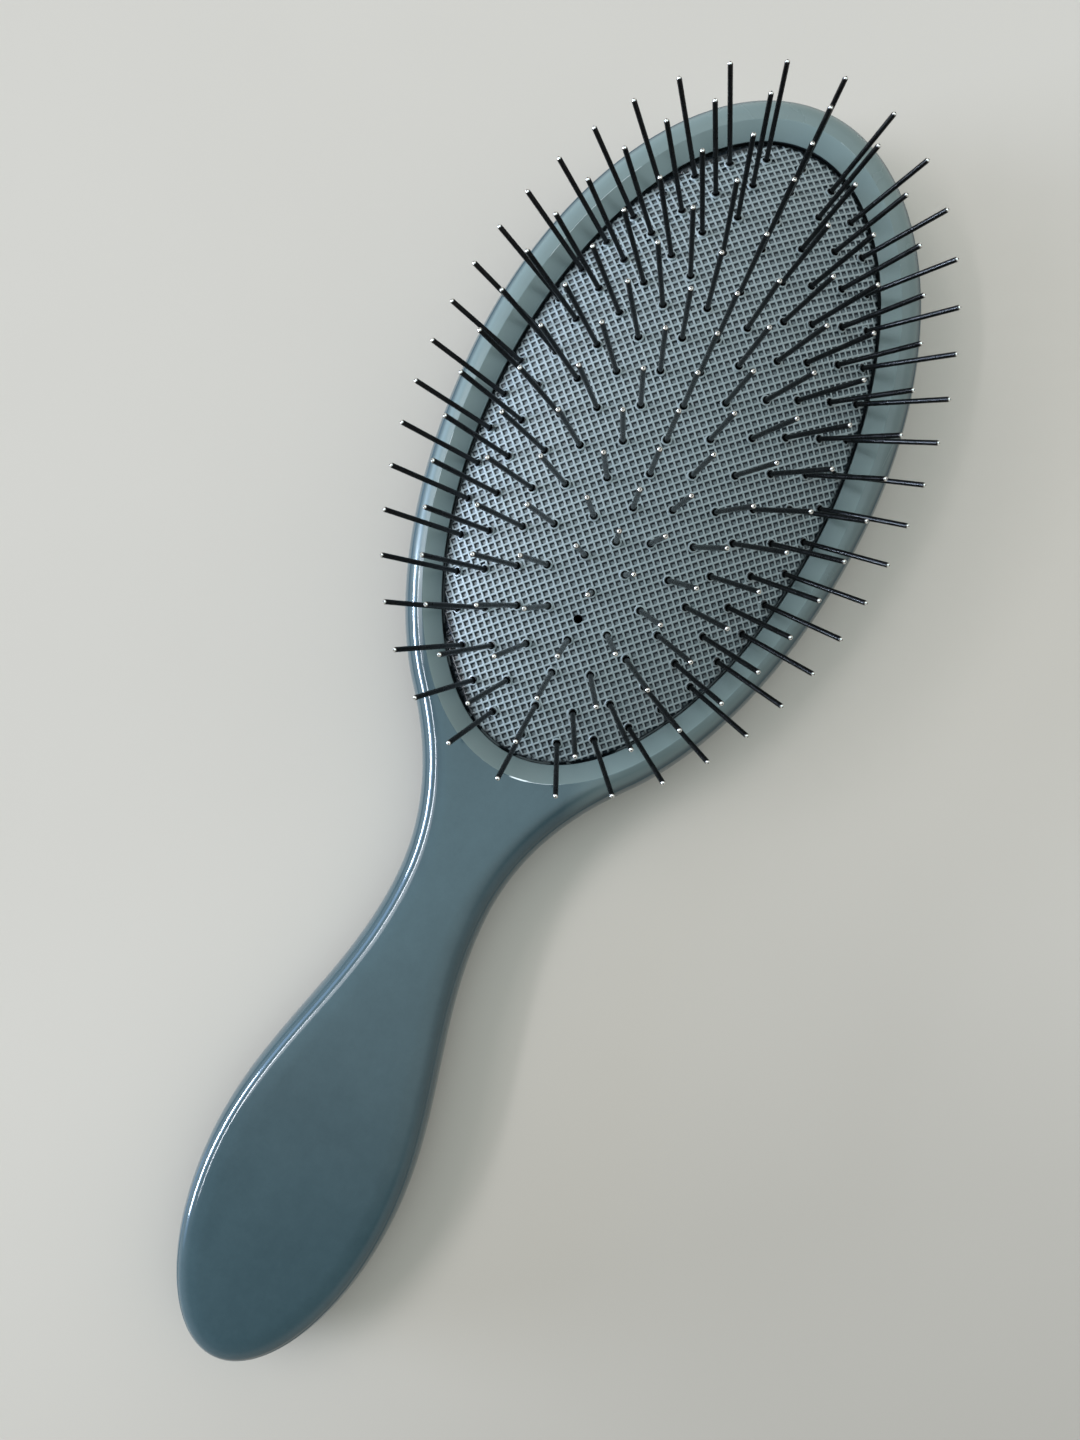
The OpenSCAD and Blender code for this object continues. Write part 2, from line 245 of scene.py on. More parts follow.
def closed_ring(name, loops):
    """A ring whose section is closed: the last loop is joined to the first."""
    return sealed(built_up(name, [*loops, loops[0]]))


seat = closed_ring("seat", [
    oval_loop(SEAT_OUT, FLOOR_Z - ROOT), oval_loop(SEAT_OUT, SEAT_Z - EDGE_BREAK),
    oval_loop(SEAT_OUT - EDGE_BREAK, SEAT_Z), oval_loop(SEAT_IN + EDGE_BREAK, SEAT_Z),
    oval_loop(SEAT_IN, SEAT_Z - EDGE_BREAK), oval_loop(SEAT_IN, FLOOR_Z - ROOT)])

# Bosses and ribs stand at shares of the way from behind the cushion to the handle's end.
HEEL_GAP = 3.3
PAD_HEEL_X = PAD_X - PAD_A - HEEL_GAP
PEG_XS = [PAD_HEEL_X + share * (END_X - PAD_HEEL_X) for share in (0.09, 0.3, 0.6, 0.9)]
RIB_XS = [PAD_HEEL_X + share * (END_X - PAD_HEEL_X) for share in (0.45, 0.75)]
BOSS_R, BOSS_Z, BORE_R, BORE_Z, BORE_BREAK, POLE_R = 3, SEAM_Z - 0.1, 1.55, SEAM_Z - 6.1, 0.15, 0.01
RIB_THICK, RIB_HIGH, RIB_BITE = 1.6, 5.6, 1
boss_levels = [(BOSS_R, FLOOR_Z - ROOT), (BOSS_R, BOSS_Z - EDGE_BREAK), (BOSS_R - EDGE_BREAK, BOSS_Z),
               (BORE_R + BORE_BREAK, BOSS_Z), (BORE_R, BOSS_Z - BORE_BREAK), (BORE_R, BORE_Z),
               (POLE_R, BORE_Z), (POLE_R, FLOOR_Z - ROOT)]
bosses = [closed_ring("boss", [round_loop(x, 0, *level, ROUND_SIDES) for level in boss_levels])
          for x in PEG_XS]


def rib(x):
    """A stiffening rib across the hollow handle, with its top edges broken."""
    bpy.ops.object.select_all(action="DESELECT")
    reach = half_width(x) - INNER_INSET + RIB_BITE
    bpy.ops.mesh.primitive_cube_add(size=1)
    made = bpy.context.object
    made.scale = (RIB_THICK * MM, 2 * reach * MM, RIB_HIGH * MM)
    made.location = (x * MM, 0, (FLOOR_Z - ROOT + RIB_HIGH / 2) * MM)
    bpy.ops.object.transform_apply(location=True, rotation=False, scale=True)
    edge = made.modifiers.new("edge", "BEVEL")
    edge.width, edge.segments = EDGE_BREAK * MM, 2
    bpy.ops.object.modifier_apply(modifier="edge")
    return made


joined(back_shell, seat, *bosses, *[rib(x) for x in RIB_XS])


def colour(code):
    """Linear colour of an sRGB hex value."""
    parts = [int(code[start:start + 2], 16) / 255 for start in (1, 3, 5)]
    return [part / 12.92 if part <= 0.04045 else ((part + 0.055) / 1.055) ** 2.4 for part in parts] + [1.0]


def add(nodes, kind, inputs=(), **settings):
    """Adds a node with its settings. Each input takes a value, or a link from another socket."""
    node = nodes.new(kind)
    for name, value in settings.items():
        setattr(node, name, value)
    for name, value in dict(inputs).items():
        if isinstance(value, bpy.types.NodeSocket):
            nodes.id_data.links.new(value, node.inputs[name])
        else:
            node.inputs[name].default_value = value
    return node


def new_material(name):
    """A material with no nodes yet."""
    made = bpy.data.materials.new(name)
    made.use_nodes = True
    made.node_tree.nodes.clear()
    return made, made.node_tree.nodes


def gloss_abs():
    """Glossy ABS, moulded in a polished tool: an even pigment with a faint flow mottle, a clear
    reflection softened by handling haze, and slight waves where the walls shrank. The bevel round
    the cushion is satin and lightened by dust and a painted sheen, and a painted highlight lies
    along its outer edge."""
    made, nodes = new_material("gloss_abs_grey_blue")
    place = add(nodes, "ShaderNodeTexCoord").outputs["Object"]
    mottle = add(nodes, "ShaderNodeTexNoise", {"Vector": place, "Scale": 90.0, "Detail": 8.0,
                                               "Roughness": 0.85})
    polished = add(nodes, "ShaderNodeMix", {0: mottle.outputs["Fac"], 6: colour("#2b3d43"),
                                            7: colour("#405359")}, data_type="RGBA")
    satin = add(nodes, "ShaderNodeAttribute", attribute_name="satin").outputs["Fac"]
    # Dust and a painted sheen lighten the bevel and the head's shoulder.
    dust_and_sheen = add(nodes, "ShaderNodeAttribute", attribute_name="dust_and_sheen").outputs["Fac"]
    dusted_and_sheened = add(nodes, "ShaderNodeMix", {0: dust_and_sheen, 6: polished.outputs[2], 7: colour("#6b7978")},
                data_type="RGBA")
    # Painted shade darkens the parts in shadow, such as the wall inside the opening.
    painted_shade = add(nodes, "ShaderNodeAttribute", attribute_name="painted_shade").outputs["Fac"]
    shade_darkened = add(nodes, "ShaderNodeMix", {0: painted_shade, 6: dusted_and_sheened.outputs[2], 7: colour("#15181a")},
                 data_type="RGBA")
    # A painted highlight, near white and broken by noise, lies along the crease.
    painted_crease_highlight = add(nodes, "ShaderNodeAttribute", attribute_name="painted_crease_highlight").outputs["Fac"]
    breaks = add(nodes, "ShaderNodeTexNoise", {"Vector": place, "Scale": 110.0, "Detail": 2.0})
    lit = add(nodes, "ShaderNodeMath", {0: breaks.outputs["Fac"], 1: painted_crease_highlight}, operation="ADD")
    wear_and_painted_highlight = add(nodes, "ShaderNodeMapRange", {"Value": lit.outputs[0], "From Min": 1.0,
                                             "From Max": 1.2, "To Min": 0.0, "To Max": 1.0})
    body = add(nodes, "ShaderNodeMix", {0: wear_and_painted_highlight.outputs[0], 6: shade_darkened.outputs[2],
                                        7: colour("#f0f3f4")}, data_type="RGBA")
    haze = add(nodes, "ShaderNodeTexNoise", {"Vector": place, "Scale": 160.0, "Detail": 4.0})
    rough = add(nodes, "ShaderNodeMapRange", {"Value": haze.outputs["Fac"], "From Min": 0.3,
                                              "From Max": 0.7, "To Min": 0.06, "To Max": 0.12})
    stretch = add(nodes, "ShaderNodeMapping", {"Vector": place, "Scale": (60.0, 2200.0, 60.0),
                                               "Rotation": (0.0, 0.0, 0.9)})
    hair = add(nodes, "ShaderNodeTexNoise", {"Vector": stretch.outputs[0], "Scale": 1.0, "Detail": 1.0})
    line = add(nodes, "ShaderNodeMapRange", {"Value": hair.outputs["Fac"], "From Min": 0.74,
                                             "From Max": 0.8, "To Min": 0.0, "To Max": 0.12})
    glossy = add(nodes, "ShaderNodeMath", {0: rough.outputs[0], 1: line.outputs[0]}, operation="ADD")
    total = add(nodes, "ShaderNodeMath", {0: satin, 1: 0.22, 2: glossy.outputs[0]},
                operation="MULTIPLY_ADD")
    waves = add(nodes, "ShaderNodeTexNoise", {"Vector": place, "Scale": 130.0, "Detail": 1.0})
    bump = add(nodes, "ShaderNodeBump", {"Height": waves.outputs["Fac"], "Strength": 0.06,
                                         "Distance": 0.0004})
    shader = add(nodes, "ShaderNodeBsdfPrincipled", {
        "Base Color": body.outputs[2], "Roughness": total.outputs[0], "Normal": bump.outputs[0],
        "IOR": 1.52})
    add(nodes, "ShaderNodeOutputMaterial", {"Surface": shader.outputs[0]})
    return made


abs_plastic = gloss_abs()


def finished(piece, material, body, slot, *nodes):
    """Gives a piece its material and its body, and hides the CAD nodes that it stands for. The slot is not
    used.
    """
    piece.data.materials.clear()
    piece.data.materials.append(material)
    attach(piece, body)
    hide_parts(*nodes)


finished(back_shell, abs_plastic, "brush_body", "shell_plastic", "back_shell")


# Backing sheet

# A thin domed sheet of dark rubber behind the pins' heads, clamped under the cushion's flange. It
# keeps the pins from being pushed back through the cushion, and flattens as the cushion does.

FOOT_Z, RISE, DOME_POWER, RUBBER = 12.4, 9.0, 2.3, 2.2
SHEET_Z, SHEET_THICK, SHEET_DROP = 10.1, 0.5, 3.4
CLAMP_IN, CLAMP_OUT, SHEET_FLAT = -1.5, 1.7, 2.7
POLE_SHARE, DOME_LEVELS = 0.03, 12
FIELD_A, FIELD_B = 52.6, 27.8
VENT_SHARE, SHEET_VENT_R, CUSHION_VENT_R = 0.604, 1.25, 0.75
VENT_X = PAD_X - VENT_SHARE * FIELD_A
CUT_LOW, CUT_HIGH = 5, 40


def dome_z(share):
    """Height of the cushion's outer face at a share of its oval."""
    return FOOT_Z + RISE * (1 - np.power(share, DOME_POWER))


def share_loop(share, height):
    """The cushion's oval drawn in to a share of its size, at a height."""
    return oval_loop(0, height) * [share, share, 1] + [PAD_X * (1 - share), 0, 0]


shares = np.linspace(POLE_SHARE, 1 - SHEET_FLAT / PAD_B, DOME_LEVELS)
sheet_rows = [share_loop(share, dome_z(share) - SHEET_DROP - SHEET_THICK) for share in shares]
sheet_rows += [oval_loop(CLAMP_IN, SHEET_Z - SHEET_THICK), oval_loop(CLAMP_OUT, SHEET_Z - SHEET_THICK),
               oval_loop(CLAMP_OUT, SHEET_Z), oval_loop(CLAMP_IN, SHEET_Z)]
sheet_rows += [share_loop(share, dome_z(share) - SHEET_DROP) for share in shares[::-1]]
backing_sheet = sealed(built_up("backing_sheet_rubber", sheet_rows), cap_ends=True)


def cut(piece, tool, operation="DIFFERENCE"):
    """Cuts, joins or keeps what the tool covers, and removes the tool."""
    step = piece.modifiers.new("cut", "BOOLEAN")
    step.solver, step.operation, step.object = "MANIFOLD", operation, tool
    bpy.ops.object.select_all(action="DESELECT")
    bpy.context.view_layer.objects.active = piece
    bpy.ops.object.modifier_apply(modifier="cut")
    bpy.data.objects.remove(tool)
    return piece


def rod(name, x, radius):
    """An upright rod on the centreline, longer than anything it cuts."""
    return sealed(built_up(name, [round_loop(x, 0, radius, CUT_LOW, ROUND_SIDES),
                                  round_loop(x, 0, radius, CUT_HIGH, ROUND_SIDES)]), cap_ends=True)


cut(backing_sheet, rod("vent", VENT_X, SHEET_VENT_R))


def plain_rubber(name, dark, light, roughness):
    """Moulded rubber: matt, with a soft mottle of bloom and fine grain from the tool."""
    made, nodes = new_material(name)
    place = add(nodes, "ShaderNodeTexCoord").outputs["Object"]
    bloom = add(nodes, "ShaderNodeTexNoise", {"Vector": place, "Scale": 70.0, "Detail": 4.0})
    body = add(nodes, "ShaderNodeMix", {0: bloom.outputs["Fac"], 6: colour(dark), 7: colour(light)},
               data_type="RGBA")
    grain = add(nodes, "ShaderNodeTexNoise", {"Vector": place, "Scale": 2600.0, "Detail": 2.0})
    bump = add(nodes, "ShaderNodeBump", {"Height": grain.outputs["Fac"], "Strength": 0.25,
                                         "Distance": 0.00005})
    shader = add(nodes, "ShaderNodeBsdfPrincipled", {
        "Base Color": body.outputs[2], "Roughness": roughness, "Normal": bump.outputs[0], "IOR": 1.5})
    add(nodes, "ShaderNodeOutputMaterial", {"Surface": shader.outputs[0]})
    return made


finished(backing_sheet, plain_rubber("black_sheet_rubber", "#1d1f20", "#26292b", 0.7),
         "brush_body", "sheet_rubber", "backing_sheet")
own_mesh(backing_sheet)


# Pins

# 157 pins of hard steel wire, with flat heads behind the rubber and rounded tips. They are plated
# black nickel, and use has worn the plating off the tips, so that bright metal shows there.

# Each ring's count of pins, and its length and width as shares of the pins' field.
RINGS = {"outer": (42, 1.0, 1.0), "second": (36, 0.9, 0.83), "third": (30, 0.785, 0.63),
         "fourth": (24, 0.675, 0.445), "inner": (18, 0.515, 0.225)}
SECTORS, OVAL_STEPS = 6, 240
CENTRE_PINS, CENTRE_SHARE = 7, 0.345
END_LEAN, SIDE_LEAN, LEAN_POWER = math.tan(math.radians(26)), math.tan(math.radians(44)), 0.77
WIRE_R, HEAD_R, PIN_REACH, HEAD_GAP, HEAD_THICK = 0.425, 1.0, 17.5, 0.3, 0.4
PIN_SIDES = 12


def dome_share(x, y):
    """Share of the cushion's oval at a place."""
    return np.hypot((x - PAD_X) / PAD_A, y / PAD_B)


def ring_places(count, length_share, width_share):
    """Places at equal steps along a ring's oval, the first at the tip."""
    turns = np.radians(np.linspace(0, 360, OVAL_STEPS + 1))
    oval = np.column_stack([FIELD_A * length_share * np.cos(turns), FIELD_B * width_share * np.sin(turns)])
    steps = np.linalg.norm(np.diff(oval, axis=0), axis=1)
    run = np.concatenate([[0], np.cumsum(steps)])
    even = np.interp(run[-1] * np.arange(count) / count, run, turns)
    return [(FIELD_A * length_share * math.cos(t), FIELD_B * width_share * math.sin(t)) for t in even]


centre_row = [(2 * FIELD_A * CENTRE_SHARE * (k / (CENTRE_PINS - 1) - 0.5), 0.0) for k in range(CENTRE_PINS)]
rings = {name: ring_places(*ring) for name, ring in RINGS.items()}
pin_places = centre_row + sum(rings.values(), [])


def lean(x, y):
    """A pin's run along X and Y for each unit that it rises."""
    across = np.array([x / FIELD_A, y / FIELD_B])
    return np.linalg.norm(across) ** LEAN_POWER * across * [END_LEAN, SIDE_LEAN]


def stack(name, levels, sides):
    """An upright stack of circles, closed at both ends. A level is a radius and a height."""
    return sealed(built_up(name, [round_loop(0, 0, *level, sides) for level in levels]), cap_ends=True)


def planted(name, model, places, sunk=None):
    """Copies of an upright piece, one at each place and leaning as the pin there does, joined to
    one piece. Where a function is given, the piece's low end is moved to the height that it finds
    for the place."""
    copies = []
    for x, y in places:
        copy = model.copy()
        copy.data = model.data.copy()
        bpy.context.scene.collection.objects.link(copy)
        if sunk:
            for corner in copy.data.vertices:
                if corner.co.z < MM:
                    corner.co.z += sunk(x, y) * MM
        foot = Vector((PAD_X + x, y, dome_z(dome_share(PAD_X + x, y)))) * MM
        turn = Vector((0, 0, 1)).rotation_difference(Vector((*lean(x, y), 1)))
        copy.data.transform(Matrix.Translation(foot) @ turn.to_matrix().to_4x4())
        copies.append(copy)
    made = joined(*copies)
    made.name = made.data.name = name
    return made


def shaded(piece, smooth):
    """Shades the piece smooth where its faces meet at less than an angle."""
    bpy.ops.object.select_all(action="DESELECT")
    piece.select_set(True)
    bpy.context.view_layer.objects.active = piece
    bpy.ops.object.shade_smooth_by_angle(angle=math.radians(smooth))
    return piece


def head_depth(x, y):
    """Height of the upper side of a pin's head, under the rubber, along the pin."""
    run = lean(x, y)
    share = dome_share(PAD_X + x, y)
    fall = RISE * DOME_POWER * share ** (DOME_POWER - 2) * (x * run[0] / PAD_A**2 + y * run[1] / PAD_B**2)
    return -RUBBER * math.hypot(run[0], run[1], 1) / (1 + fall) - HEAD_GAP


def marked(piece, name, values):
    """Gives each of a mesh's points a value, for its material."""
    piece.data.attributes.new(name, "FLOAT", "POINT").data.foreach_set("value", values.astype(np.float32))


TIP_TURNS = np.radians([0, 30, 60, 88])
pin = stack("pin", [(HEAD_R, -HEAD_THICK), (HEAD_R, 0), (WIRE_R, 0)] + [
    (WIRE_R * math.cos(turn), PIN_REACH - WIRE_R * (1 - math.sin(turn))) for turn in TIP_TURNS],
    PIN_SIDES)
heights = np.array([corner.co.z for corner in pin.data.vertices]) / MM
from_tip = (PIN_REACH - heights) / WIRE_R
marked(pin, "worn_tip", np.interp(from_tip, [0, 0.13, 0.5, 1], [0.2, 1, 0.7, 0]))


def black_nickel():
    """Black nickel on drawn steel wire: a dark mirror, with bright steel at the worn tip."""
    made, nodes = new_material("black_nickel_steel_wire")
    place = add(nodes, "ShaderNodeTexCoord").outputs["Object"]
    spots = add(nodes, "ShaderNodeTexNoise", {"Vector": place, "Scale": 420.0, "Detail": 3.0})
    plated = add(nodes, "ShaderNodeMix", {0: spots.outputs["Fac"], 6: colour("#2d2d2e"),
                                          7: colour("#383839")}, data_type="RGBA")
    wear_and_painted_highlight = add(nodes, "ShaderNodeAttribute", attribute_name="worn_tip").outputs["Fac"]
    bare = add(nodes, "ShaderNodeMapRange", {"Value": wear_and_painted_highlight, "From Min": 0.5, "From Max": 0.9,
                                             "To Min": 0.0, "To Max": 1.0})
    body = add(nodes, "ShaderNodeMix", {0: bare.outputs[0], 6: plated.outputs[2],
                                        7: colour("#efeeea")}, data_type="RGBA")
    rough = add(nodes, "ShaderNodeMapRange", {"Value": spots.outputs["Fac"], "From Min": 0.3,
                                              "From Max": 0.7, "To Min": 0.22, "To Max": 0.32})
    shader = add(nodes, "ShaderNodeBsdfPrincipled", {
        "Base Color": body.outputs[2], "Metallic": 1.0, "Roughness": rough.outputs[0]})
    add(nodes, "ShaderNodeOutputMaterial", {"Surface": shader.outputs[0]})
    return made


wire_finish = black_nickel()


def wires(node, body, places):
    """The pins of one node, as one piece."""
    made = shaded(planted(node + "_wires", pin, places, head_depth), smooth=40)
    finished(made, wire_finish, body, "pin_steel", node)


wires("centre_pins", "centre_row", centre_row)
for ring, places in rings.items():
    count = len(places) // SECTORS
    for sector in range(SECTORS):
        wires(f"{ring}_pins_{sector + 1}", ring + "_ring", places[sector * count:(sector + 1) * count])
bpy.data.objects.remove(pin)


# Cushion

# The domed cushion, compression moulded in grey-blue rubber, with a lattice of square pits over
# its face, a raised lip round each pin's hole and a vent near the heel. Its foot and flange are
# clamped under the front shell's rim, and the air below it springs the pins.

CELLS, PITCH, RIDGE, DRAFT, PIT_DEPTH = 82, 1.16, 0.26, 0.08, 0.4
SHADE_BAND, SHADE_SHIFT, SPARE_SHARE = 0.18, 1.15, 1.09
PAD_EDGE, PAD_WALL_LOW = 0.12, 10.15


def waffle():
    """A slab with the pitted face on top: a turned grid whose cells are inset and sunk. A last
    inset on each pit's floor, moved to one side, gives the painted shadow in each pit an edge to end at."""
    bpy.ops.object.select_all(action="DESELECT")
    bpy.ops.mesh.primitive_grid_add(x_subdivisions=CELLS, y_subdivisions=CELLS, size=CELLS * PITCH * MM,
                                    location=(PAD_X * MM, 0, 0), rotation=(0, 0, math.radians(45)))
    piece = bpy.context.object
    piece.name = piece.data.name = "cushion_moulding"
    bpy.ops.object.transform_apply(location=True, rotation=True, scale=True)
    bpy.ops.object.mode_set(mode="EDIT")
    mesh = bmesh.from_edit_mesh(piece.data)
    far = []
    for face in mesh.faces:
        middle = face.calc_center_median() / MM
        if dome_share(middle.x, middle.y) > SPARE_SHARE:
            far.append(face)
    bmesh.ops.delete(mesh, geom=far, context="FACES")
    bmesh.update_edit_mesh(piece.data)
    bpy.ops.mesh.select_all(action="SELECT")
    bpy.ops.mesh.inset(use_individual=True, thickness=RIDGE / 2 * MM)
    bpy.ops.mesh.inset(use_individual=True, thickness=DRAFT * MM, depth=-PIT_DEPTH * MM)
    bpy.ops.mesh.inset(use_individual=True, thickness=SHADE_BAND * MM)
    bpy.ops.transform.translate(value=(0, -SHADE_SHIFT * SHADE_BAND * MM, 0))
    mesh = bmesh.from_edit_mesh(piece.data)
    for corner in mesh.verts:
        corner.co.z += float(dome_z(dome_share(corner.co.x / MM, corner.co.y / MM))) * MM
    bmesh.update_edit_mesh(piece.data)
    bpy.ops.mesh.select_all(action="DESELECT")
    bpy.ops.mesh.select_non_manifold(extend=False, use_wire=False, use_multi_face=False,
                                     use_non_contiguous=False, use_verts=False)
    bpy.ops.mesh.extrude_region_move()
    mesh = bmesh.from_edit_mesh(piece.data)
    for corner in mesh.verts:
        if corner.select:
            corner.co.z = CUT_LOW * MM
    bmesh.update_edit_mesh(piece.data)
    bpy.ops.mesh.edge_face_add()
    bpy.ops.mesh.select_all(action="SELECT")
    bpy.ops.mesh.normals_make_consistent(inside=False)
    bpy.ops.object.mode_set(mode="OBJECT")
    return piece


def oval_block(name, offset, low, high):
    """A solid block with the cushion's oval."""
    return sealed(built_up(name, [oval_loop(offset, low), oval_loop(offset, high)]), cap_ends=True)


cushion = waffle()
cut(cushion, oval_block("edge", PAD_EDGE, PAD_WALL_LOW, CUT_HIGH), "INTERSECT")

CHAMBER_LOW, CHAMBER_MOUTH = 6, PAD_WALL_LOW + 0.3
hollow_shares = np.linspace(1 + CLAMP_IN / PAD_B, POLE_SHARE, DOME_LEVELS)
hollow_rows = [share_loop(hollow_shares[0], CHAMBER_LOW)]
hollow_rows += [share_loop(share, max(dome_z(share) - RUBBER, CHAMBER_MOUTH)) for share in hollow_shares]
cut(cushion, sealed(built_up("chamber", hollow_rows), cap_ends=True))

# The foot's flange, which steps up outside the cushion's wall and goes under the front shell.
FLANGE_IN, FLANGE_OUT, FLANGE_STEP_IN, FLANGE_STEP_OUT = -0.9, 1.7, 0.75, 0.85
FLANGE_LOW, FLANGE_Z = 10.8, 11.95
cut(cushion, closed_ring("flange", [
    oval_loop(FLANGE_IN, PAD_WALL_LOW), oval_loop(FLANGE_IN, FLANGE_LOW),
    oval_loop(FLANGE_STEP_IN, FLANGE_LOW), oval_loop(FLANGE_STEP_OUT, FLANGE_Z),
    oval_loop(FLANGE_OUT - EDGE_BREAK, FLANGE_Z), oval_loop(FLANGE_OUT, FLANGE_Z - EDGE_BREAK),
    oval_loop(FLANGE_OUT, PAD_WALL_LOW)]), "UNION")

# The lip round each pin and its hole, as radii and heights above the dome.
HOLE_R, HOLE_SIDES = 0.505, 16
lip = stack("lip", [(0.92, -0.9), (0.92, 0.02), (0.86, 0.12), (0.78, 0.15)], HOLE_SIDES)
hole = stack("hole", [(HOLE_R, -4.5), (HOLE_R, -0.6), (0.6, -0.45), (0.64, 0.6)], HOLE_SIDES)
cut(cushion, planted("lips", lip, pin_places), "UNION")
cut(cushion, planted("holes", hole, pin_places))
for model in (lip, hole):
    bpy.data.objects.remove(model)
cut(cushion, rod("vent", VENT_X, CUSHION_VENT_R))
shaded(cushion, smooth=28)


def pitted_rubber():
    """Moulded rubber, matt on the worn ridges. Each pit is darkened with painted shade, and a painted
    cast shadow lies on two of its sides; pits are told from the ridges by how far below the dome's face a
    point lies."""
    made, nodes = new_material("moulded_grey_rubber")
    place = add(nodes, "ShaderNodeTexCoord").outputs["Object"]
    bloom = add(nodes, "ShaderNodeTexNoise", {"Vector": place, "Scale": 60.0, "Detail": 4.0})
    body = add(nodes, "ShaderNodeMix", {0: bloom.outputs["Fac"], 6: colour("#899396"),
                                        7: colour("#959ea0")}, data_type="RGBA")
    # Painted shade darkens each pit, with a painted cast shadow on two of its sides.
    depth = add(nodes, "ShaderNodeAttribute", attribute_name="painted_pit_shade")
    shade = add(nodes, "ShaderNodeMapRange", {"Value": depth.outputs["Fac"], "From Min": 0.1,
                                              "From Max": 0.62, "To Min": 0.0, "To Max": 1.0})
    tint = add(nodes, "ShaderNodeMix", {0: shade.outputs[0], 6: body.outputs[2], 7: colour("#0b1823")},
               data_type="RGBA")
    # Painted shade darkens the holes, the gap at the edge and what lies below the face.
    painted_shade = add(nodes, "ShaderNodeAttribute", attribute_name="painted_shade").outputs["Fac"]
    shade_darkened = add(nodes, "ShaderNodeMix", {0: painted_shade, 6: tint.outputs[2], 7: colour("#1e2327")},
                 data_type="RGBA")
    rough = add(nodes, "ShaderNodeMapRange", {"Value": painted_shade, "To Min": 0.42, "To Max": 0.22})
    grain = add(nodes, "ShaderNodeTexNoise", {"Vector": place, "Scale": 2400.0, "Detail": 2.0})
    bump = add(nodes, "ShaderNodeBump", {"Height": grain.outputs["Fac"], "Strength": 0.25,
                                         "Distance": 0.00005})
    shader = add(nodes, "ShaderNodeBsdfPrincipled", {
        "Base Color": shade_darkened.outputs[2], "Roughness": rough.outputs[0], "Normal": bump.outputs[0],
        "IOR": 1.52})
    add(nodes, "ShaderNodeOutputMaterial", {"Surface": shader.outputs[0]})
    return made


def places_of(piece):
    """Where a mesh's points are, in millimetres."""
    return np.array([corner.co for corner in piece.data.vertices]) / MM


def round_the_pad(places):
    """Angle of each place round the cushion, in degrees from the tip over the left side."""
    return np.degrees(np.arctan2(places[:, 1] / PAD_B, (places[:, 0] - PAD_X) / PAD_A)) % 360


# How much painted shade lies at each point of a pit: a painted cast shadow covers its two left
# sides, and about a third as much lies elsewhere.
corners = places_of(cushion)
below = (dome_z(dome_share(corners[:, 0], corners[:, 1])) - corners[:, 2]) / PIT_DEPTH
across = np.column_stack([corners[:, 1] + corners[:, 0] - PAD_X, corners[:, 1] - corners[:, 0] + PAD_X])
in_cell = (across / math.sqrt(2) / PITCH) % 1 - 0.5
pit_shadow_share = np.interp(in_cell.max(axis=1), [0.05, 0.15], [0.36, 1])
marked(cushion, "painted_pit_shade", np.clip(below, 0, 1) * pit_shadow_share)

# Painted shade darkens the pins' holes, all that lies below the visible face and two stretches of the gap
# along the edge.
PAINTED_SHADE_R, PAINTED_SHADE_Z = 0.7, 11
to_pin = np.min([np.hypot(corners[:, 0] - PAD_X - x, corners[:, 1] - y) for x, y in pin_places], axis=0)
edge_shade = np.interp(round_the_pad(corners), [18, 24, 40, 46, 130, 138, 156, 164],
                       [0.15, 0.8, 0.8, 0.1, 0.1, 0.9, 0.9, 0.1])
by_edge = dome_share(corners[:, 0], corners[:, 1]) > 1 - edge_shade / PAD_B
marked(cushion, "painted_shade", (to_pin < PAINTED_SHADE_R) | by_edge | (corners[:, 2] < PAINTED_SHADE_Z))

finished(cushion, pitted_rubber(), "brush_body", "cushion_rubber", "cushion")
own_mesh(cushion)


# Front shell

# The face of the body, moulded in the same ABS as the back. It has a rounded shoulder, an oval
# opening with a wide bevel round the cushion, a skirt that fits inside the back shell and four
# pegs that lock into its bosses.

CREASE, CREASE_DIP, ROUNDING = 3.8, 0.006, 0.07
LIP, LIP_Z, LIP_BREAK, BEVEL_PART = 0.5, 12.85, 0.1, 1.6
FACE_LOW = 12.2
SKIRT_INSET, SKIRT_WALL, SKIRT_Z = 3.41, 1.2, 9.5
HANDLE_CROWN, CROWN_START, CROWN_EDGE, CROWN_EASE = 0.45, 4, 1.3, 3
PEG_R, PEG_TIP_R, PEG_LOW, PEG_ROOT = 1.5, 1.2, SEAM_Z - 6, 0.9
NEAREST_REACH, JOIN_STATIONS = 9.2, 3


def oval_hit(offset):
    """How far each station's inward line runs to the cushion's oval moved out by an offset, and
    the turn of the oval that it meets. A line that misses gets infinity."""
    halves = [PAD_A + offset, PAD_B + offset]
    start, way = (EDGE - [PAD_X, 0]) / halves, INWARD / halves
    square, cross, rest = (way * way).sum(1), (start * way).sum(1), (start * start).sum(1) - 1
    root = cross * cross - square * rest
    reach = np.where(root > 0, (-cross - np.sqrt(np.maximum(root, 0))) / square, np.inf)
    reach = np.where(reach > 0, reach, np.inf)
    hit = start + way * np.where(np.isfinite(reach), reach, 0)[:, None]
    return reach, np.arctan2(hit[:, 1], hit[:, 0])


